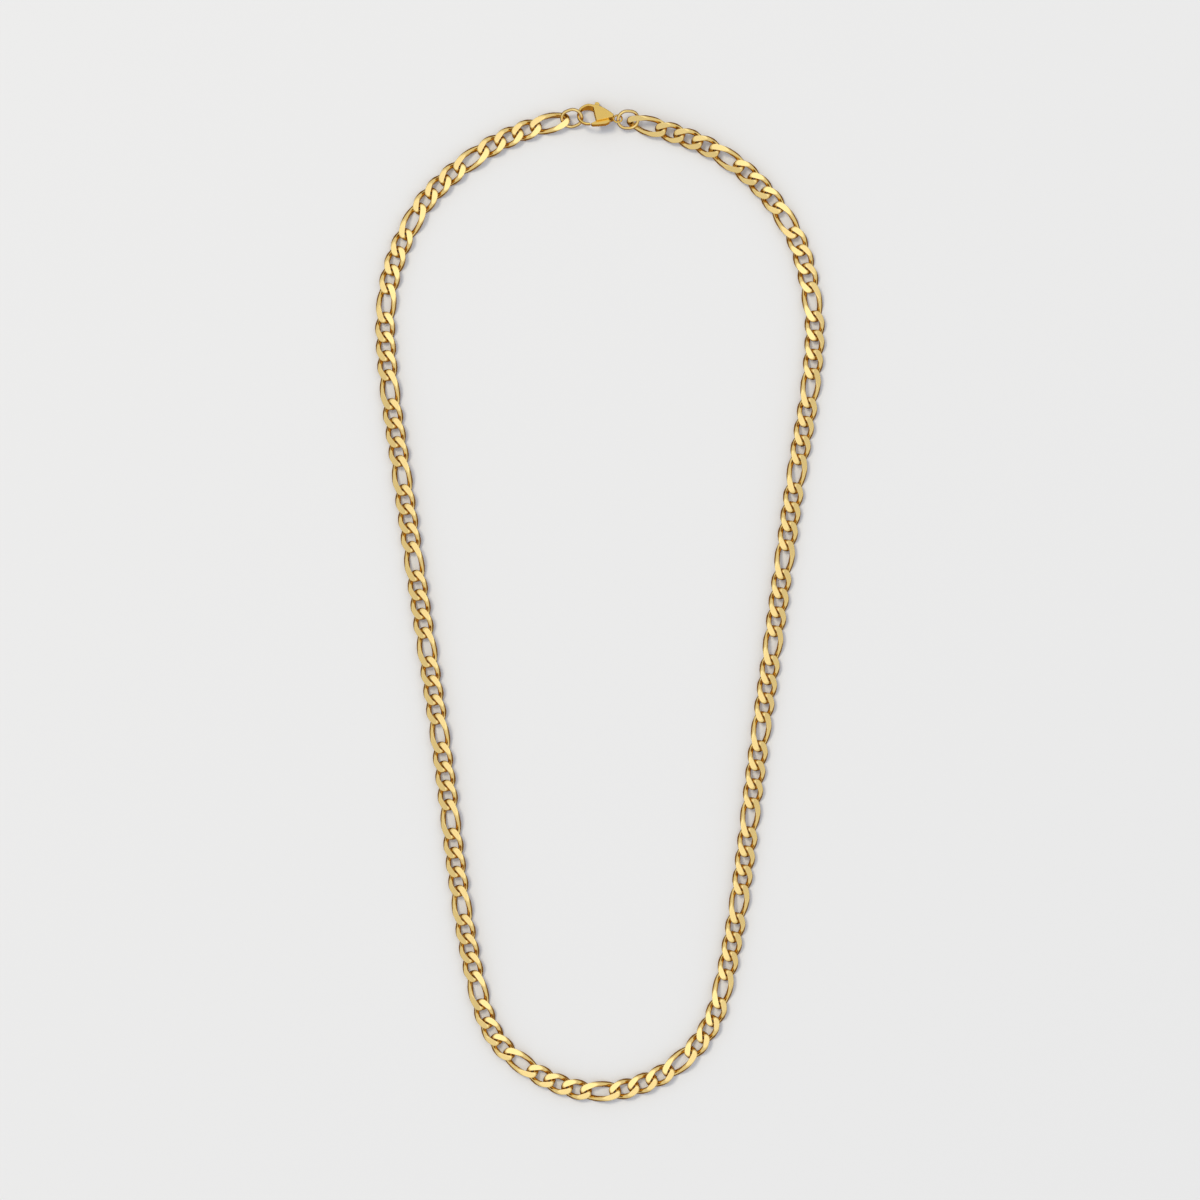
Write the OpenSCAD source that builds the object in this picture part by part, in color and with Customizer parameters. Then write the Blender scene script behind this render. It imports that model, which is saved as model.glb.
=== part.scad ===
// Figaro chain necklace: one long link, then three short ones, closed by a lobster claw.
// It lies flat as an open loop with the claw at the top. Millimetres, +Z up.
// The origin is on the surface, under the middle of the laid loop.
// A link's own frame: +y looks back to the link before it, +x to the inside of the loop.

/* [Chain] */
// Width of the link wire, seen from above
wire_w = 1.3; // [1.2:0.05:1.4]
// Thickness of the link wire, through the link
wire_t = 1.5; // [1.4:0.05:1.6]
// Outer width of a link
link_w = 4.85; // [4.7:0.05:5.2]
// Height between the ground faces of a link
link_h = 1.75; // [1.65:0.05:1.9]
// Length of chain that one short link adds
short_pitch = 4.6; // [4.5:0.1:5.2]
// Length of chain that one long link adds
long_pitch = 7; // [6.4:0.1:8]
// Number of long links
long_links = 27; // [23:1:31]
// Short links between two long ones
shorts_between = 3; // [2:1:4]
// Play between two links pulled straight
link_play = 0.25; // [0.2:0.05:0.35]
// Turn of each end of a link out of its middle plane, in degrees
bow_turn = 50; // [46:1:52]
// Lean of the ground faces towards the edges of the chain, in degrees
face_lean = 5; // [0:1:8]

/* [Rings] */
// Wire of the two oval rings
ring_wire = 0.75; // [0.65:0.05:0.8]
// Outer length of an oval ring
ring_l = 5.7; // [5.4:0.1:6]
// Outer width of an oval ring
ring_w = 5; // [4.8:0.1:5.2]
// Play of a ring where it hangs in the hook
hook_play = 0.3; // [0.15:0.05:0.3]
// Play of the other ring in the last link
last_link_play = 0.85; // [0.6:0.05:0.9]

/* [Claw] */
// Outer radius of the hook
hook_r = 2.7; // [2.5:0.1:3]
// Thickness of the hook, seen from above
hook_wall = 0.55; // [0.45:0.05:0.6]
// Depth of the hook at its tip
hook_tip_t = 0.9; // [0.7:0.05:1]
// Depth of the claw body over both cheeks
claw_t = 2.2; // [2:0.1:2.6]
// Thickness of the lever
lever_t = 1; // [0.8:0.05:1.1]
// Gap between the lever and each cheek
lever_gap = 0.05; // [0.03:0.01:0.08]
// Gap between the tip of the lever and the tip of the hook
tip_gap = 0.1; // [0.08:0.01:0.15]
// Diameter of the hidden pin that the lever turns on
pin_d = 0.8; // [0.6:0.05:0.9]
// Running clearance of the lever on the pin, on the radius
pin_gap = 0.05; // [0.03:0.01:0.08]
// Outer diameter of the tail eye
eye_d = 2.46; // [2.4:0.02:2.6]
// Wire of the tail eye
eye_wire = 0.46; // [0.4:0.02:0.5]
// Tilt of the claw where it rests on its crown, in degrees
claw_tilt = 28; // [26:1:32]

/* [Hidden] */

gold = "#e3b747";

// Middle line of the laid loop, from the claw down the left side, round and up the right
ROUTE = [
    [-0.5, 116.5], [-9, 115.5], [-18, 113], [-26.5, 109], [-35.5, 102.5], [-42, 96],
    [-47.5, 86], [-50.5, 77], [-51.5, 66], [-51, 57], [-47.5, 30.5], [-38.5, -31],
    [-29.5, -92], [-28, -98], [-24, -106], [-17.5, -111.5], [-10, -115.5], [0, -117.5],
    [10, -115.5], [17, -112], [23.5, -106], [28, -98], [29.5, -92], [38.5, -31],
    [47, 30.5], [51, 57], [51.5, 66], [50, 77], [47.5, 86], [41.5, 96], [35, 103],
    [26, 109], [17, 112.5], [8, 115]
];

// Roll of the links along the chain: share of its length, outer edge up in degrees
ROLL = [
    [0, 0], [0.1, 0], [0.17, -12], [0.41, -12], [0.46, 0], [0.55, 0],
    [0.6, -12], [0.84, -12], [0.9, 0], [0.994, 24], [1, 24]
];

// Chain counts and lengths
period = shorts_between + 1;
link_count = (long_links - 1) * period + 1;
left_links = ceil(link_count / 2);
bow_y = short_pitch / 2 + link_play / 2 + wire_w / 2;
bow_x = link_w / 2 - wire_w / 2;
long_straight = long_pitch - short_pitch;
bow_shape = 3.2;
bow_rise = 1.4;
bow_steps = 12;
wire_sides = 6;
pad_middle = 0.27 * link_w;

function is_long(i) = i % period == 0;
function longs_before(i) = ceil(i / period);
function pitch(i) = is_long(i) ? long_pitch : short_pitch;
function chain_upto(i) = longs_before(i) * long_pitch + (i - longs_before(i)) * short_pitch;
chain_l = chain_upto(link_count);

// Claw sizes, in its own frame: u to the tail, v to the knob, origin on the lever's pin.
// Shares are of the hook's outer radius; angles turn from the tail towards the knob.
claw_x = 0.6;
hook_c = hook_r * [-1.26, 0.06];
hook_mid_r = hook_r - hook_wall / 2;
hook_from = 58;
hook_waist = 165;
hook_end = 300;
hook_lap = 1;
slot_t = lever_t + 2 * lever_gap;
pin_seat = 0.3;
pin_fit = 0.02;
hub_wall = 0.45;
hub_r = pin_d / 2 + pin_gap + hub_wall;
tail_u = 0.78 * hook_r;
tail_edge_u = 0.94 * hook_r;
eye_lap = 0.12;
eye_c = [tail_edge_u + eye_d / 2 - eye_lap, -0.28 * hook_r];
eye_r = eye_d / 2 - eye_wire / 2;
gate_r = 1.38 * hook_r;
claw_z = (hook_c[1] + hook_r) * sin(claw_tilt) + claw_t / 2 * cos(claw_tilt);

// Cheek outline before its curved upper edge is cut, as shares
CHEEK = [[-0.87, 0.98], [1.07, 0.98], [1.02, 0], [0.93, -0.31], [-0.53, -0.67]];
CHEEK_ARC_C = [-2.88, -4.04];
cheek_arc_r = 5.56 * hook_r;

// Lever outline, as shares: closing arm to the left, heel to the right, neck of the knob on top
LEVER = [
    [-1.26, -1.01], [-0.41, -0.99], [0.3, -0.9], [0.65, -0.69], [0.61, -0.46], [0.3, -0.11],
    [0.09, 0.26], [-0.26, 0.93], [-0.28, 1.15], [-0.69, 1.15], [-0.64, 0.81], [-0.31, 0.11],
    [-0.43, -0.44], [-0.58, -0.59], [-0.99, -0.86], [-1.26, -0.9]
];
KNOB_C = [-0.48, 1.17];
knob_r = 0.215 * hook_r;

// Ring centre lines, each ring's drop from the claw's pin in y and z, and how the ring lies
ring_a = (ring_l - ring_wire) / 2;
ring_b = (ring_w - ring_wire) / 2;
end_ring_x = claw_x + hook_c[0] - hook_r + hook_wall + hook_play + ring_wire / 2 - ring_a;
END_RING_DROP = [0.45, 0.359];
END_RING_TURN = [25.5, -19.3, 20.3];
clasp_ring_x = claw_x + eye_c[0] + ring_a;
CLASP_RING_DROP = [0.822, 0.198];
CLASP_RING_TURN = [22.3, 13.7, -1.6];

// Ends of the chain, measured along the loop from the point above the claw's pin
chain_from = claw_x - (end_ring_x - ring_a + ring_wire / 2 + link_play / 2);
chain_to = clasp_ring_x + ring_a - ring_wire / 2 - last_link_play - claw_x;

// Arc length table of the route, scaled so that chain and claw fill the loop
route_steps = 12;
function wrap(i) = (i + len(ROUTE)) % len(ROUTE);
function knot(i) = ROUTE[wrap(i)];
function span(i) = norm(knot(i + 1) - knot(i));
function slope(i) = (knot(i + 1) - knot(i)) / span(i);
function tangent(i) = (slope(i - 1) * span(i) + slope(i) * span(i - 1)) / (span(i - 1) + span(i));
function hermite(p, q, m, n, t) =
    (2 * t^3 - 3 * t^2 + 1) * p + (t^3 - 2 * t^2 + t) * m
    + (3 * t^2 - 2 * t^3) * q + (t^3 - t^2) * n;
ROUTE_FINE = [
    for (i = [0:len(ROUTE) - 1], k = [0:route_steps - 1])
        hermite(knot(i), knot(i + 1), tangent(i) * span(i), tangent(i + 1) * span(i),
                k / route_steps),
    ROUTE[0]
];
function running(points, i = 0, s = 0, done = []) =
    i == len(points) ? done
    : running(points, i + 1,
              i + 1 < len(points) ? s + norm(points[i + 1] - points[i]) : s,
              concat(done, [s]));
ROUTE_S = running(ROUTE_FINE);
route_l = ROUTE_S[len(ROUTE_S) - 1];
loop_scale = (chain_l + chain_from + chain_to) / route_l;
ROUTE_X = [for (i = [0:len(ROUTE_S) - 1]) [ROUTE_S[i] * loop_scale, ROUTE_FINE[i][0] * loop_scale]];
ROUTE_Y = [for (i = [0:len(ROUTE_S) - 1]) [ROUTE_S[i] * loop_scale, ROUTE_FINE[i][1] * loop_scale]];
loop_start = chain_from - (claw_x - ROUTE[0][0] * loop_scale);
function joint_point(i) =
    let (s = loop_start + chain_upto(i)) [lookup(s, ROUTE_X), lookup(s, ROUTE_Y)];

// The claw's pin lies this far below the top of the loop, as seen on the page
claw_drop = 0.23;
claw_y = ROUTE[0][1] * loop_scale - claw_drop;

// One link as rings of wire round its oval: turned ends, then ground flat above and below
function spow(c, e) = sign(c) * pow(abs(c), e);
function station_angles(long) = [
    for (k = [0:bow_steps - 1])
        let (a = k * 360 / bow_steps, side = a % 180 == 0 && long ? [-1, 1] : [0])
        each [for (s = side) [a, s == 0 ? sign(sin(a)) : cos(a) * s]]
];
function ground(p) =
    let (top = link_h / 2 - tan(face_lean) * (abs(p[0]) - pad_middle))
    [p[0], p[1], max(-top, min(top, p[2]))];
function wire_ring(a, side, long) =
    let (straight = long ? long_straight / 2 : 0,
         x = bow_x * spow(cos(a), 2 / bow_shape),
         y = bow_y * spow(sin(a), 2 / bow_shape) + side * straight,
         n = [spow(cos(a), 2 - 2 / bow_shape) / bow_x, spow(sin(a), 2 - 2 / bow_shape) / bow_y],
         out = n / norm(n),
         turn = bow_turn * spow(sin(90 * y / (bow_y + straight)), bow_rise))
    [for (j = [0:wire_sides - 1])
        let (w = wire_w / 2 * cos(360 * j / wire_sides),
             t = wire_t / 2 * sin(360 * j / wire_sides),
             px = x + out[0] * w)
        ground([px * cos(turn) - t * sin(turn), y + out[1] * w, px * sin(turn) + t * cos(turn)])];
function link_form(long) = [for (s = station_angles(long)) each wire_ring(s[0], s[1], long)];
SHORT = link_form(false);
LONG = link_form(true);

// A link in its place: rolled, set down on the surface, and turned along the route
function rolled(points, r) = [
    for (p = points) [p[0] * cos(r) + p[2] * sin(r), p[1], p[2] * cos(r) - p[0] * sin(r)]
];
function link_roll(i) = lookup((chain_upto(i) + pitch(i) / 2) / chain_l, ROLL);
function seat(r) = -min([for (form = [SHORT, LONG]) each [for (p = rolled(form, r)) p[2]]]);
function placed_link(i) =
    let (a = joint_point(i), b = joint_point(i + 1), along = (b - a) / norm(b - a),
         m = (a + b) / 2, r = link_roll(i), z = seat(r))
    [for (p = rolled(is_long(i) ? LONG : SHORT, r))
        [m[0] - along[1] * p[0] - along[0] * p[1], m[1] + along[0] * p[0] - along[1] * p[1],
         p[2] + z]];
function link_faces(first, rings) = [
    for (k = [0:rings - 1], j = [0:wire_sides - 1])
        let (k2 = (k + 1) % rings, j2 = (j + 1) % wire_sides,
             a = first + k * wire_sides + j, b = first + k * wire_sides + j2,
             c = first + k2 * wire_sides + j2, d = first + k2 * wire_sides + j)
        each [[a, b, c], [a, c, d]]
];
function rings_before(i) = bow_steps * i + 2 * longs_before(i);

module chain(from, to) {
    first = rings_before(from);
    color(gold) polyhedron(
        points = [for (i = [from:to]) each placed_link(i)],
        faces = [for (i = [from:to])
            each link_faces((rings_before(i) - first) * wire_sides,
                            rings_before(i + 1) - rings_before(i))]);
}

module chain_left() chain(0, left_links - 1);

module chain_right() chain(left_links, link_count - 1);

// Oval ring of round wire: two half rings joined by two straight lengths
module oval_ring() {
    straight = ring_a - ring_b;
    for (side = [0, 180]) rotate([0, 0, side]) {
        translate([straight, 0, 0]) rotate([0, 0, -90])
            rotate_extrude(angle = 180, $fn = 96)
                translate([ring_b, 0]) circle(d = ring_wire, $fn = 32);
        translate([-straight, ring_b, 0]) rotate([0, 90, 0])
            cylinder(d = ring_wire, h = 2 * straight, $fn = 32);
    }
}

module end_ring() color(gold)
    translate([end_ring_x, claw_y - END_RING_DROP[0], claw_z - END_RING_DROP[1]])
        rotate(END_RING_TURN) oval_ring();

module clasp_ring() color(gold)
    translate([clasp_ring_x, claw_y - CLASP_RING_DROP[0], claw_z - CLASP_RING_DROP[1]])
        rotate(CLASP_RING_TURN) oval_ring();

// Claw: the body leans so that its crown rests on the surface and the arm is raised
module claw_place() translate([claw_x, claw_y, claw_z]) rotate([-claw_tilt, 0, 0]) children();

module slab(t) translate([0, 0, -t / 2]) linear_extrude(t) children();

module cheek_shape() intersection() {
    polygon(hook_r * CHEEK);
    translate(hook_r * CHEEK_ARC_C) circle(r = cheek_arc_r, $fn = 360);
}

module cheeks() difference() {
    slab(claw_t) cheek_shape();
    translate([tail_u - 4 * hook_r, -2 * hook_r, -slot_t / 2])
        cube([4 * hook_r, 4 * hook_r, slot_t]);
    cylinder(d = pin_d + 2 * pin_fit, h = slot_t + 2 * pin_seat + 2 * pin_fit, center = true, $fn = 48);
}

module hook_crown() intersection() {
    translate(hook_c) rotate([0, 0, hook_from])
        rotate_extrude(angle = hook_waist - hook_from, $fn = 96)
            translate([hook_r - hook_wall, -claw_t / 2]) square([hook_wall, claw_t]);
    rotate([90, 0, 0]) linear_extrude(4 * hook_r, center = true) polygon([
        [hook_c[0] - hook_r, -hook_tip_t / 2], [hook_c[0], -claw_t / 2], [0, -claw_t / 2],
        [0, claw_t / 2], [hook_c[0], claw_t / 2], [hook_c[0] - hook_r, hook_tip_t / 2]
    ]);
}

module hook_arm() difference() {
    translate(hook_c) rotate([0, 0, hook_waist - hook_lap])
        rotate_extrude(angle = hook_end - hook_waist + hook_lap, $fn = 96) translate([hook_mid_r, 0]) {
            for (side = [-1, 1])
                translate([0, side * (hook_tip_t - hook_wall) / 2]) circle(d = hook_wall, $fn = 32);
            square([hook_wall, hook_tip_t - hook_wall], center = true);
        }
    cylinder(r = gate_r, h = 2 * claw_t, center = true, $fn = 96);
}

module tail_eye() translate(eye_c)
    rotate_extrude($fn = 64) translate([eye_r, 0]) circle(d = eye_wire, $fn = 32);

module claw_body() color(gold) claw_place() union() {
    cheeks();
    hook_crown();
    hook_arm();
    tail_eye();
}

module claw_lever() color(gold) claw_place() difference() {
    slab(lever_t) union() {
        intersection() {
            polygon(hook_r * LEVER);
            circle(r = gate_r - tip_gap, $fn = 96);
        }
        circle(r = hub_r, $fn = 48);
        translate(hook_r * KNOB_C) circle(r = knob_r, $fn = 48);
    }
    cylinder(r = pin_d / 2 + pin_gap, h = 2 * lever_t, center = true, $fn = 48);
}

module claw_pin() color(gold) claw_place()
    cylinder(d = pin_d, h = slot_t + 2 * pin_seat, center = true, $fn = 48);

chain_left();
chain_right();
end_ring();
clasp_ring();
claw_body();
claw_lever();
claw_pin();
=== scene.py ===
"""Looks of the laid figaro chain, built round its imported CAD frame. Sizes are in mm, finished meshes in metres."""
import math

import bmesh
import bpy
import numpy as np
from mathutils import Euler, Matrix, Vector


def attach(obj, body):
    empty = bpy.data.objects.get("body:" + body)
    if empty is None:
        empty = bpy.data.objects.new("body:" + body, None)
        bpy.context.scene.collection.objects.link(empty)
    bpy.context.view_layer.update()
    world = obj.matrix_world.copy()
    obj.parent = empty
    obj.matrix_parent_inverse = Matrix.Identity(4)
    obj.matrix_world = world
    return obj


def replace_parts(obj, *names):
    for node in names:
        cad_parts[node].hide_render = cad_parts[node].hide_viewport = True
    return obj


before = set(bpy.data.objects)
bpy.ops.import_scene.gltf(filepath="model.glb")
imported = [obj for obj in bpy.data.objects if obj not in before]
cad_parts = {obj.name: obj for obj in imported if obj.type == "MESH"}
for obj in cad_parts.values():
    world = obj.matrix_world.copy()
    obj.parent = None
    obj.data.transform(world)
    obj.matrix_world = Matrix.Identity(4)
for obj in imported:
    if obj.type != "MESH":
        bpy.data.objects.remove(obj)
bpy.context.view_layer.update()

MM = 0.001
BODY = "necklace"

# Chain sizes, the same as the named sizes of the part
WIRE_W, WIRE_T = 1.3, 1.5
LINK_W, LINK_H = 4.85, 1.75
SHORT_PITCH, LONG_PITCH = 4.6, 7.0
LONG_LINKS, SHORTS_BETWEEN = 27, 3
LINK_PLAY = 0.25
BOW_TURN, FACE_LEAN = 50, 5
BOW_SHAPE, BOW_RISE = 3.2, 1.4
PAD_MIDDLE = 0.27 * LINK_W
LINKS = (LONG_LINKS - 1) * (SHORTS_BETWEEN + 1) + 1
LEFT_LINKS = math.ceil(LINKS / 2)

# Claw and rings, the same as the named sizes of the part
RING_WIRE, RING_L, RING_W = 0.75, 5.7, 5.0
HOOK_R, HOOK_WALL, CLAW_T = 2.7, 0.55, 2.2
HOOK_CENTRE, TAIL_EDGE = (-1.26, 0.06), 0.94  # from the claw's origin, as shares of HOOK_R
HOOK_PLAY, LAST_LINK_PLAY = 0.3, 0.85
EYE_D = 2.46
EYE_LAP = 0.12
CLAW_X, CLAW_TILT, CLAW_DROP = 0.6, 28, 0.23  # the tilt in degrees
END_RING_DROP, END_RING_TURN = (0.45, 0.359), (25.5, -19.3, 20.3)
CLASP_RING_DROP, CLASP_RING_TURN = (0.822, 0.198), (22.3, 13.7, -1.6)

# Middle line of the laid loop, and the links' roll in degrees at shares of the chain's length, as in the part
ROUTE = [
    (-0.5, 116.5), (-9, 115.5), (-18, 113), (-26.5, 109), (-35.5, 102.5), (-42, 96), (-47.5, 86),
    (-50.5, 77), (-51.5, 66), (-51, 57), (-47.5, 30.5), (-38.5, -31), (-29.5, -92), (-28, -98),
    (-24, -106), (-17.5, -111.5), (-10, -115.5), (0, -117.5), (10, -115.5), (17, -112), (23.5, -106),
    (28, -98), (29.5, -92), (38.5, -31), (47, 30.5), (51, 57), (51.5, 66), (50, 77), (47.5, 86),
    (41.5, 96), (35, 103), (26, 109), (17, 112.5), (8, 115),
]
ROLL = [
    (0, 0), (0.1, 0), (0.17, -12), (0.41, -12), (0.46, 0), (0.55, 0), (0.6, -12), (0.84, -12),
    (0.9, 0), (0.994, 24), (1, 24),
]

RIM = 0.08  # how softly the ground faces run out into the round wire
GROUND_FROM = 1.5 * RIM  # wear from which a face of the wire counts as ground

# Fineness of the shown meshes
WIRE_SIDES = 26
SHORT_STATIONS, LONG_STATIONS = 64, 76
OVAL_STEP = 0.25  # degrees between the points that a link's oval is measured by
ROUTE_STEPS = 12  # pieces that the route has between two of its points
RING_SIDES, RING_STATIONS = 24, 120


def linear(hex_colour):
    """A six-digit sRGB colour as Blender's linear RGBA."""
    channels = [int(hex_colour[k:k + 2], 16) / 255 for k in (0, 2, 4)]
    return (*[c / 12.92 if c <= 0.04045 else ((c + 0.055) / 1.055) ** 2.4 for c in channels], 1)


def add(tree, kind, links=None, **settings):
    """Add one node: settings are its own properties, links fill its inputs with sockets or values."""
    node = tree.nodes.new(kind)
    for name, value in settings.items():
        setattr(node, name, value)
    for key, source in (links or {}).items():
        if isinstance(source, bpy.types.NodeSocket):
            tree.links.new(source, node.inputs[key])
        else:
            node.inputs[key].default_value = source
    return node


# The coat on the links and rings, and the yellower one on the claw
GOLD_COAT, CAST_COAT = "FFE29A", "FFDD84"
# What a gold coat gives back at a grazing angle: browner than at a steep one, so that edges draw a line
EDGE_TINT = "7A4E1E"
# Patches in which the polish is a little uneven: their size in mm, and how far the roughness goes up and down
PATCH, UNEVEN = 2.5, 0.04


def metal(name, colour, roughness, grain, depth, stretch=(1, 1, 1)):
    """A coated metal: grain of a size and depth in mm, and a roughness that is a little uneven."""
    material = bpy.data.materials.new(name)
    material.use_nodes = True
    tree = material.node_tree
    tree.nodes.clear()
    place = add(tree, "ShaderNodeTexCoord").outputs["Object"]
    laid = add(tree, "ShaderNodeMapping", {"Vector": place, "Scale": stretch}).outputs[0]
    grit = add(tree, "ShaderNodeTexNoise",
               {"Vector": laid, "Scale": 1 / (grain * MM), "Detail": 3, "Roughness": 0.6})
    wear = add(tree, "ShaderNodeTexNoise", {"Vector": place, "Scale": 1 / (PATCH * MM), "Detail": 2})
    rough = add(tree, "ShaderNodeMapRange",
                {"Value": wear.outputs["Fac"], "From Min": 0.3, "From Max": 0.7,
                 "To Min": roughness - UNEVEN, "To Max": roughness + UNEVEN})
    bump = add(tree, "ShaderNodeBump",
               {"Height": grit.outputs["Fac"], "Strength": 1, "Distance": depth * MM})
    shader = add(tree, "ShaderNodeBsdfPrincipled",
                 {"Base Color": linear(colour), "Metallic": 1, "Roughness": rough.outputs[0],
                  "Normal": bump.outputs[0], "Specular Tint": linear(EDGE_TINT)})
    add(tree, "ShaderNodeOutputMaterial", {"Surface": shader.outputs[0]})
    return material


# The real grain of all three is finer than the render shows, so it is drawn coarser.
# Stainless steel wire with a vapour-deposited gold coat, tumbled: the round sides mirror softly
WIRE_GOLD = metal("gold_coated_tumbled_steel", GOLD_COAT, roughness=0.15, grain=0.5, depth=0.002)
# The faces are ground flat before the coat: flatter, with fine lines that blur the mirror along them
GROUND_GOLD = metal("gold_coated_ground_steel", GOLD_COAT, roughness=0.2, grain=0.12, depth=0.003,
                    stretch=(1, 0.15, 1))
# The claw is cast steel, polished by hand and coated: a broad, slightly soft mirror
CAST_GOLD = metal("gold_coated_cast_steel", CAST_COAT, roughness=0.2, grain=0.8, depth=0.003)


def in_scene(name, data):
    """A new object for a mesh, a light or a camera."""
    thing = bpy.data.objects.new(name, data)
    bpy.context.scene.collection.objects.link(thing)
    return thing


def mesh_piece(name, mesh, materials, body=BODY):
    """Put a finished mesh in the scene as one piece that rides on a body."""
    piece = in_scene(name, mesh)
    for material in materials:
        mesh.materials.append(material)
    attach(piece, body)
    return piece


# ---- Links ----

def power(values, exponent):
    """A power that leaves each value its sign."""
    return np.sign(values) * np.abs(values) ** exponent


def oval_line(straight, stations):
    """Evenly spaced stations round a link's oval: x, y and the outward direction in the link's plane."""
    bow_x, bow_y = (LINK_W - WIRE_W) / 2, (SHORT_PITCH + LINK_PLAY + WIRE_W) / 2
    angle = np.radians(np.arange(OVAL_STEP / 2, 360, OVAL_STEP))
    c, s = np.cos(angle), np.sin(angle)
    out = np.stack([power(c, 2 - 2 / BOW_SHAPE) / bow_x, power(s, 2 - 2 / BOW_SHAPE) / bow_y], 1)
    out /= np.linalg.norm(out, axis=1)[:, None]
    line = np.column_stack([bow_x * power(c, 2 / BOW_SHAPE),
                            bow_y * power(s, 2 / BOW_SHAPE) + np.sign(s) * straight, out])
    line = np.vstack([line, line[:1]])
    run = np.concatenate([[0], np.cumsum(np.linalg.norm(np.diff(line[:, :2], axis=0), axis=1))])
    at = np.arange(stations) * run[-1] / stations
    return np.stack([np.interp(at, run, line[:, k]) for k in range(4)], 1), bow_y + straight


def tube(bm, rings):
    """A closed tube through rings of points, all of one length. The last ring meets the first."""
    verts = [[bm.verts.new(p) for p in ring] for ring in rings]
    count, sides = len(verts), len(verts[0])
    for k in range(count):
        for j in range(sides):
            bm.faces.new((verts[k][j], verts[k][(j + 1) % sides],
                          verts[(k + 1) % count][(j + 1) % sides], verts[(k + 1) % count][j]))
    bmesh.ops.recalc_face_normals(bm, faces=bm.faces)


def grind(points):
    """Wear points of the wire down to the leaning faces above and below, with a soft rim: points and wear."""
    top = LINK_H / 2 - math.tan(math.radians(FACE_LEAN)) * (np.abs(points[..., 0]) - PAD_MIDDLE)
    wear = RIM * np.log1p(np.exp((np.abs(points[..., 2]) - top) / RIM))
    worn = points.copy()
    worn[..., 2] -= np.sign(points[..., 2]) * np.minimum(wear, np.abs(points[..., 2]))
    return worn, wear


def link_form(name, straight, stations):
    """One link: wire round an oval with turned ends, ground flat above and below."""
    line, half = oval_line(straight, stations)
    turn = np.radians(BOW_TURN) * power(np.sin(math.pi / 2 * line[:, 1] / half), BOW_RISE)
    side = 2 * math.pi * np.arange(WIRE_SIDES) / WIRE_SIDES
    w, t = WIRE_W / 2 * np.cos(side)[None], WIRE_T / 2 * np.sin(side)[None]
    px, py = line[:, 0:1] + line[:, 2:3] * w, line[:, 1:2] + line[:, 3:4] * w
    c, s = np.cos(turn)[:, None], np.sin(turn)[:, None]
    rings, wear = grind(np.stack([px * c - t * s, py, px * s + t * c], 2))
    bm = bmesh.new()
    tube(bm, rings.tolist())
    ground = bm.faces.layers.float.new("ground")
    bm.verts.index_update()
    wear = wear.ravel()
    for face in bm.faces:
        face[ground] = min(wear[v.index] for v in face.verts) > GROUND_FROM
    mesh = bpy.data.meshes.new(name)
    bm.to_mesh(mesh)
    bm.free()
    mesh.shade_smooth()
    return mesh


# ---- Laid loop ----

def smooth_loop(points, steps):
    """The part's smooth closed line through its listed points."""
    p = np.array(points, float)
    span = np.linalg.norm(np.roll(p, -1, 0) - p, axis=1)
    slope = (np.roll(p, -1, 0) - p) / span[:, None]
    before, span_before = np.roll(slope, 1, 0), np.roll(span, 1)
    tangent = (before * span[:, None] + slope * span_before[:, None]) / (span + span_before)[:, None]
    line = []
    for i in range(len(p)):
        j = (i + 1) % len(p)
        for t in np.arange(steps) / steps:
            line.append((2 * t**3 - 3 * t**2 + 1) * p[i] + (t**3 - 2 * t**2 + t) * tangent[i] * span[i]
                        + (3 * t**2 - 2 * t**3) * p[j] + (t**3 - t**2) * tangent[j] * span[i])
    return np.array([*line, p[0]])


def lowest(points, roll):
    """How far a link's lowest point is below its middle when it is rolled."""
    return -(points[:, 2] * math.cos(roll) - points[:, 0] * math.sin(roll)).min()


ring_a, ring_b = (RING_L - RING_WIRE) / 2, (RING_W - RING_WIRE) / 2
end_ring_x = CLAW_X + HOOK_CENTRE[0] * HOOK_R - HOOK_R + HOOK_WALL + HOOK_PLAY + RING_WIRE / 2 - ring_a
clasp_ring_x = CLAW_X + TAIL_EDGE * HOOK_R + EYE_D / 2 - EYE_LAP + ring_a
chain_from = CLAW_X - (end_ring_x - ring_a + RING_WIRE / 2 + LINK_PLAY / 2)
chain_to = clasp_ring_x + ring_a - RING_WIRE / 2 - LAST_LINK_PLAY - CLAW_X
chain_l = LONG_LINKS * LONG_PITCH + (LINKS - LONG_LINKS) * SHORT_PITCH
route = smooth_loop(ROUTE, ROUTE_STEPS)
run = np.concatenate([[0], np.cumsum(np.linalg.norm(np.diff(route, axis=0), axis=1))])
loop_scale = (chain_l + chain_from + chain_to) / run[-1]
route, run = route * loop_scale, run * loop_scale
loop_start = chain_from - (CLAW_X - ROUTE[0][0] * loop_scale)
claw_y = ROUTE[0][1] * loop_scale - CLAW_DROP
tilt = math.radians(CLAW_TILT)
claw_z = (HOOK_CENTRE[1] * HOOK_R + HOOK_R) * math.sin(tilt) + CLAW_T / 2 * math.cos(tilt)

short_mesh = link_form("short_link", 0, SHORT_STATIONS)
long_mesh = link_form("long_link", (LONG_PITCH - SHORT_PITCH) / 2, LONG_STATIONS)
form_points = np.array([v.co for m in (short_mesh, long_mesh) for v in m.vertices])
rolls = np.radians(np.interp((run - loop_start) / chain_l, *np.array(ROLL, float).T))
lifts = np.array([lowest(form_points, r) for r in rolls])


def route_object():
    """The route as a line of points that carry the links' roll and height."""
    mesh = bpy.data.meshes.new("route")
    mesh.from_pydata([(x * MM, y * MM, 0) for x, y in route], [(k, k + 1) for k in range(len(route) - 1)], [])
    for name, values in (("roll", rolls), ("lift", lifts * MM)):
        mesh.attributes.new(name, "FLOAT", "POINT").data.foreach_set("value", values.astype(np.float32))
    return in_scene("route", mesh)


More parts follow.
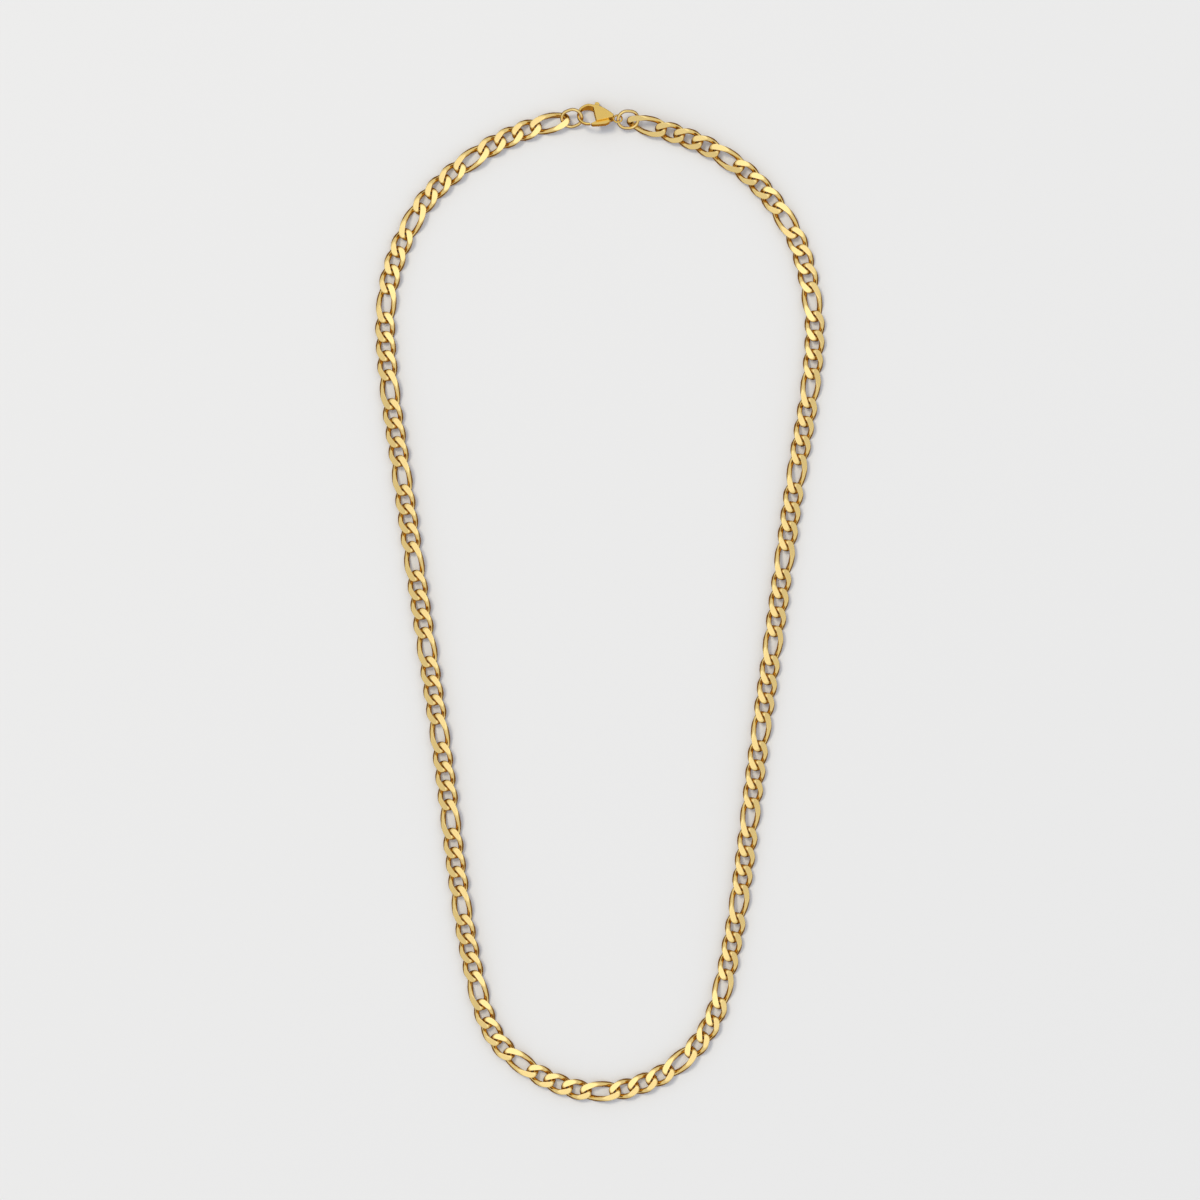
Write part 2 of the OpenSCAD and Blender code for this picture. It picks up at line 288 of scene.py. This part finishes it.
def chain_tree():
    """Geometry Nodes that string long and short links along a route."""
    tree = bpy.data.node_groups.new("string_links", "GeometryNodeTree")
    for name, kind in (
            ("Route", "Geometry"), ("Short link", "Object"), ("Long link", "Object"), ("First link", "Int"),
            ("Links", "Int"), ("Shorts between", "Int"), ("Short pitch", "Float"), ("Long pitch", "Float"),
            ("Start along route", "Float"), ("Wire metal", "Material"), ("Ground metal", "Material")):
        tree.interface.new_socket(name, in_out="INPUT", socket_type="NodeSocket" + kind)
    tree.interface.new_socket("Chain", in_out="OUTPUT", socket_type="NodeSocketGeometry")
    given = add(tree, "NodeGroupInput").outputs
    math_node = "ShaderNodeMath"

    # From a link's number: whether it is long, and where along the route its pitch starts and stops
    number = add(tree, math_node, {0: add(tree, "GeometryNodeInputIndex").outputs[0],
                                   1: given["First link"]}, operation="ADD").outputs[0]
    period = add(tree, math_node, {0: given["Shorts between"], 1: 1}, operation="ADD").outputs[0]
    share = add(tree, math_node, {0: number, 1: period}, operation="DIVIDE").outputs[0]
    longs = add(tree, math_node, {0: share}, operation="CEIL").outputs[0]
    place = add(tree, math_node, {0: number, 1: period}, operation="MODULO").outputs[0]
    is_long = add(tree, math_node, {0: place, 1: 0.5}, operation="LESS_THAN").outputs[0]
    more = add(tree, math_node, {0: given["Long pitch"], 1: given["Short pitch"]},
               operation="SUBTRACT").outputs[0]
    even = add(tree, math_node, {0: number, 1: given["Short pitch"], 2: given["Start along route"]},
               operation="MULTIPLY_ADD").outputs[0]
    start = add(tree, math_node, {0: longs, 1: more, 2: even}, operation="MULTIPLY_ADD").outputs[0]
    pitch = add(tree, math_node, {0: is_long, 1: more, 2: given["Short pitch"]},
                operation="MULTIPLY_ADD").outputs[0]
    stop = add(tree, math_node, {0: start, 1: pitch}, operation="ADD").outputs[0]
    middle = add(tree, math_node, {0: pitch, 1: 0.5, 2: start}, operation="MULTIPLY_ADD").outputs[0]

    # Its middle, its heading from stop to start, and its roll about that
    line = add(tree, "GeometryNodeMeshToCurve", {"Mesh": given["Route"]}).outputs[0]
    ends = [add(tree, "GeometryNodeSampleCurve", {"Curves": line, "Length": at}, mode="LENGTH").outputs["Position"]
            for at in (start, stop)]
    roll, lift = [
        add(tree, "GeometryNodeSampleCurve",
            {"Curves": line, "Length": middle,
             "Value": add(tree, "GeometryNodeInputNamedAttribute", {"Name": name}, data_type="FLOAT").outputs[0]},
            mode="LENGTH").outputs["Value"] for name in ("roll", "lift")]
    centre = add(tree, "ShaderNodeVectorMath", {0: ends[0], 1: ends[1]}, operation="ADD").outputs[0]
    centre = add(tree, "ShaderNodeVectorMath", {0: centre, "Scale": 0.5}, operation="SCALE").outputs[0]
    up = add(tree, "ShaderNodeCombineXYZ", {"Z": lift}).outputs[0]
    centre = add(tree, "ShaderNodeVectorMath", {0: centre, 1: up}, operation="ADD").outputs[0]
    back = add(tree, "ShaderNodeVectorMath", {0: ends[0], 1: ends[1]}, operation="SUBTRACT").outputs[0]
    heading = add(tree, "FunctionNodeAlignRotationToVector", {"Vector": back}, axis="Y", pivot_axis="Z")
    tip = add(tree, "FunctionNodeAxisAngleToRotation", {"Axis": (0, 1, 0), "Angle": roll})
    turned = add(tree, "FunctionNodeRotateRotation",
                 {"Rotation": heading.outputs[0], "Rotate By": tip.outputs[0]}, rotation_space="LOCAL")

    # One point for each link, with the short or the long form on it, and the metal of its faces
    points = add(tree, "GeometryNodePoints", {"Count": given["Links"], "Position": centre}).outputs[0]
    is_short = add(tree, math_node, {0: 1, 1: is_long}, operation="SUBTRACT").outputs[0]
    joined = add(tree, "GeometryNodeJoinGeometry")
    for form, chosen in (("Short link", is_short), ("Long link", is_long)):
        shape = add(tree, "GeometryNodeObjectInfo", {"Object": given[form]}).outputs["Geometry"]
        strung = add(tree, "GeometryNodeInstanceOnPoints",
                     {"Points": points, "Selection": chosen, "Instance": shape, "Rotation": turned.outputs[0]})
        tree.links.new(strung.outputs[0], joined.inputs[0])
    real = add(tree, "GeometryNodeRealizeInstances", {0: joined.outputs[0]}).outputs[0]
    plated = add(tree, "GeometryNodeSetMaterial", {"Geometry": real, "Material": given["Wire metal"]}).outputs[0]
    ground = add(tree, "GeometryNodeInputNamedAttribute", {"Name": "ground"}, data_type="FLOAT").outputs[0]
    done = add(tree, "GeometryNodeSetMaterial",
               {"Geometry": plated, "Selection": ground, "Material": given["Ground metal"]}).outputs[0]
    add(tree, "NodeGroupOutput", {0: done})
    return tree


def in_metres(mesh):
    """Bring a mesh drawn in mm to its real size."""
    mesh.transform(Matrix.Scale(MM, 4))
    return mesh


def strung_chain(name, first, links, holder, forms, tree):
    """One run of links as a plain mesh, made by the node tree."""
    modifier = holder.modifiers.new("string_links", "NODES")
    modifier.node_group = tree
    values = {"Short link": forms[0], "Long link": forms[1], "First link": first, "Links": links,
              "Shorts between": SHORTS_BETWEEN, "Short pitch": SHORT_PITCH * MM, "Long pitch": LONG_PITCH * MM,
              "Start along route": loop_start * MM, "Wire metal": WIRE_GOLD, "Ground metal": GROUND_GOLD}
    for socket in tree.interface.items_tree:
        if socket.in_out == "INPUT" and socket.name in values:
            modifier[socket.identifier] = values[socket.name]
    bpy.context.view_layer.update()
    graph = bpy.context.evaluated_depsgraph_get()
    mesh = bpy.data.meshes.new_from_object(holder.evaluated_get(graph), preserve_all_data_layers=True,
                                           depsgraph=graph)
    mesh.name = name
    holder.modifiers.remove(modifier)
    return mesh


forms = [in_scene(mesh.name, in_metres(mesh)) for mesh in (short_mesh, long_mesh)]
holder, tree = route_object(), chain_tree()
for name, first, links in (("chain_left", 0, LEFT_LINKS), ("chain_right", LEFT_LINKS, LINKS - LEFT_LINKS)):
    strung = strung_chain(name + "_links", first, links, holder, forms, tree)
    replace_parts(mesh_piece(name + "_links", strung, []), name)
for extra in (holder, *forms):
    bpy.data.objects.remove(extra)


# ---- Rings ----

def oval_ring(name, centre, turn):
    """A closed oval ring of round wire: two half circles joined by two straight lengths."""
    straight = ring_a - ring_b
    total = 2 * math.pi * ring_b + 4 * straight
    rings = []
    for k in range(RING_STATIONS):
        s = k * total / RING_STATIONS
        side, s = divmod(s, total / 2)
        if s < 2 * straight:
            x, y, direction = straight - s, ring_b, math.pi / 2
        else:
            direction = math.pi / 2 + (s - 2 * straight) / ring_b
            x, y = -straight + ring_b * math.cos(direction), ring_b * math.sin(direction)
        flip = -1 if side else 1
        out = (flip * math.cos(direction), flip * math.sin(direction))
        rings.append([
            (flip * x + out[0] * RING_WIRE / 2 * math.cos(j), flip * y + out[1] * RING_WIRE / 2 * math.cos(j),
             RING_WIRE / 2 * math.sin(j)) for j in np.arange(RING_SIDES) * 2 * math.pi / RING_SIDES])
    bm = bmesh.new()
    tube(bm, rings)
    mesh = bpy.data.meshes.new(name)
    bm.to_mesh(mesh)
    bm.free()
    mesh.shade_smooth()
    mesh.transform(Matrix.Translation(centre) @ Euler([math.radians(a) for a in turn]).to_matrix().to_4x4())
    return in_metres(mesh)


for name, x, drop, turn in (("end_ring", end_ring_x, END_RING_DROP, END_RING_TURN),
                            ("clasp_ring", clasp_ring_x, CLASP_RING_DROP, CLASP_RING_TURN)):
    ring = oval_ring(name + "_wire", (x, claw_y - drop[0], claw_z - drop[1]), turn)
    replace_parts(mesh_piece(name + "_wire", ring, [WIRE_GOLD]), name)


# ---- Claw ----

LEVEL_AREA = 0.6  # square mm: a larger face of a bevelled copy is shaded flat right up to its edges
COPLANAR, SHARP = 0.4, 32  # degrees between faces: below the first they are joined, above the second bevelled
BEVEL_W, BEVEL_STEPS = 0.06, 3
WELD = 1e-7  # metres, below which two points of a CAD mesh are one
CAST_NET = 0.045  # mesh size that the cast body is drawn with
POLISH_ROUNDS = 14  # rounds of smoothing, which leave its edges with a radius of about 0.08


def merged_copy(node, name, join_flat=False):
    """A CAD node's mesh with its loose triangles merged, and those that lie in one plane joined where asked."""
    bm = bmesh.new()
    bm.from_mesh(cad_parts[node].data)
    bmesh.ops.remove_doubles(bm, verts=bm.verts, dist=WELD)
    if join_flat:
        bmesh.ops.dissolve_limit(bm, angle_limit=math.radians(COPLANAR), verts=bm.verts, edges=bm.edges)
    mesh = bpy.data.meshes.new(name)
    bm.to_mesh(mesh)
    bm.free()
    return mesh


def finished_mesh(raw, name):
    """The mesh that a raw copy's modifiers make of it. The raw copy goes."""
    graph = bpy.context.evaluated_depsgraph_get()
    mesh = bpy.data.meshes.new_from_object(raw.evaluated_get(graph), depsgraph=graph)
    bpy.data.objects.remove(raw)
    mesh.name = name
    return mesh


def bevelled_copy(node, name, body):
    """A CAD node's shape with its edges bevelled a little, as casting and polishing leave them."""
    mesh = merged_copy(node, name, join_flat=True)
    mesh.shade_smooth()
    raw = in_scene(name, mesh)
    bevel = raw.modifiers.new("round", "BEVEL")
    bevel.limit_method, bevel.angle_limit = "ANGLE", math.radians(SHARP)
    bevel.width, bevel.segments = BEVEL_W * MM, BEVEL_STEPS
    shading = raw.modifiers.new("flat_shading", "WEIGHTED_NORMAL")
    shading.mode, shading.weight = "FACE_AREA", 100
    done = finished_mesh(raw, name)
    normals = [corner.vector.copy() for corner in done.corner_normals]
    for face in done.polygons:
        if face.area > LEVEL_AREA * MM * MM:
            for corner in face.loop_indices:
                normals[corner] = face.normal.copy()
    done.normals_split_custom_set(normals)
    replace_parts(mesh_piece(name, done, [CAST_GOLD], body), node)


def polished_copy(node, name, body):
    """A CAD node's shape drawn as a fine even net, square to the claw's cheeks, and smoothed as tumbling does.

    The body has edges too short to bevel: a bevel shrinks to nothing on them and leaves faces without area.
    """
    mesh = merged_copy(node, name)
    level = Matrix.Rotation(math.radians(-CLAW_TILT), 4, "X") @ Matrix.Scale(1 / MM, 4)
    mesh.transform(level)
    raw = in_scene(name, mesh)
    net = raw.modifiers.new("net", "REMESH")
    net.mode, net.voxel_size, net.use_smooth_shade = "VOXEL", CAST_NET, True
    polish = raw.modifiers.new("polish", "SMOOTH")
    polish.factor, polish.iterations = 0.5, POLISH_ROUNDS
    done = finished_mesh(raw, name)
    done.transform(level.inverted())
    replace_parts(mesh_piece(name, done, [CAST_GOLD], body), node)


polished_copy("claw_body", "claw_body_cast", BODY)
bevelled_copy("claw_lever", "claw_lever_cast", "lever")
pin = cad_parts["claw_pin"]
pin.data.materials.clear()
pin.data.materials.append(CAST_GOLD)


# ---- Stage ----

# Light tent: height of a direction (0 is straight down, 0.5 the horizon, 1 overhead), and its colour there.
# Bright overhead, with pale walls and a dark surround at the horizon that draws the dark line along each edge that
# turns away. Below it is the lit surface, which the steep side faces show.
TENT = [(0, "3C260C"), (0.09, "563A16"), (0.18, "A4824E"), (0.26, "94723E"), (0.34, "44290E"), (0.48, "301D08"),
        (0.55, "77674A"), (0.62, "C0B9A8"), (0.85, "C8C6C0"), (0.93, "BDBBB6"), (0.965, "CCCBC8"), (0.985, "ECECEC"),
        (1, "FFFFFF")]
TENT_STRENGTH = 1.3
# Light on the floor: cool from all round, so that shadows are cool, and one soft warm key from the upper left
AMBIENT = "DADEE6"
KEY_PLACE, KEY_SIZE, KEY_POWER, KEY_COLOUR = (-2.2, 2.2, 4.8), 1.5, 138, "FFF5DE"  # metres and watts
PAPER, BACKDROP = "E6E6E6", "E4E4E4"  # the floor, and what shows past its edge
FLOOR_HALF = 6  # metres


def floor():
    """A plain sweep of matt pale paper: it takes soft shadows and has no shine."""
    material = bpy.data.materials.new("pale_paper_sweep")
    material.use_nodes = True
    shader = material.node_tree.nodes["Principled BSDF"]
    shader.inputs["Base Color"].default_value = linear(PAPER)
    shader.inputs["Roughness"].default_value = 0.9
    shader.inputs["Specular IOR Level"].default_value = 0.1
    mesh = bpy.data.meshes.new("floor")
    h = FLOOR_HALF
    mesh.from_pydata([(-h, -h, 0), (h, -h, 0), (h, h, 0), (-h, h, 0)], [], [(0, 1, 2, 3)])
    mesh.materials.append(material)
    plane = in_scene("floor", mesh)
    plane.visible_glossy = False


def softbox(name, place, size, power_w, colour):
    """A square area light that faces the middle of the chain and shows in no mirror."""
    light = bpy.data.lights.new(name, "AREA")
    light.shape, light.size, light.energy, light.color = "SQUARE", size, power_w, linear(colour)[:3]
    lamp = in_scene(name, light)
    lamp.location = place
    lamp.rotation_euler = (-Vector(place)).to_track_quat("-Z", "Y").to_euler()
    lamp.visible_glossy = False


def studio():
    """The light tent, which mirrors show, and the light on the floor, which they don't."""
    world = bpy.data.worlds.new("light_tent")
    bpy.context.scene.world = world
    world.use_nodes = True
    tree = world.node_tree
    tree.nodes.clear()
    z = add(tree, "ShaderNodeSeparateXYZ",
            {0: add(tree, "ShaderNodeTexCoord").outputs["Generated"]}).outputs["Z"]
    height = add(tree, "ShaderNodeMath", {0: z, 1: 0.5, 2: 0.5}, operation="MULTIPLY_ADD").outputs[0]
    tent = add(tree, "ShaderNodeValToRGB", {"Fac": height})
    ramp = tent.color_ramp
    for position, colour in TENT:
        stop = {0: ramp.elements[0], 1: ramp.elements[-1]}.get(position) or ramp.elements.new(position)
        stop.position, stop.color = position, linear(colour)
    rays = add(tree, "ShaderNodeLightPath").outputs
    light = add(tree, "ShaderNodeMix", {"Factor": rays["Is Camera Ray"], "A": linear(AMBIENT),
                                        "B": linear(BACKDROP)}, data_type="RGBA").outputs["Result"]
    shine = add(tree, "ShaderNodeVectorMath", {0: tent.outputs["Color"], "Scale": TENT_STRENGTH},
                operation="SCALE").outputs[0]
    both = add(tree, "ShaderNodeMix", {"Factor": rays["Is Glossy Ray"], "A": light, "B": shine},
               data_type="RGBA").outputs["Result"]
    glow = add(tree, "ShaderNodeBackground", {"Color": both})
    add(tree, "ShaderNodeOutputWorld", {0: glow.outputs[0]})
    softbox("key", KEY_PLACE, KEY_SIZE, KEY_POWER, KEY_COLOUR)


def camera():
    """Straight above the loop. The photo's frame is 288 mm wide, its middle 0.48 mm along +Y from the origin."""
    data = bpy.data.cameras.new("above")
    distance, frame_w, frame_y = 1.15, 0.288, 0.48 * MM
    data.sensor_width = 36
    data.lens = data.sensor_width * distance / frame_w
    data.clip_start, data.clip_end = 0.01, 20
    above = in_scene("above", data)
    above.location = (0, frame_y, distance)
    bpy.context.scene.camera = above


floor()
studio()
camera()
settings = bpy.context.scene.view_settings
settings.view_transform = "Standard"
settings.look = "None"
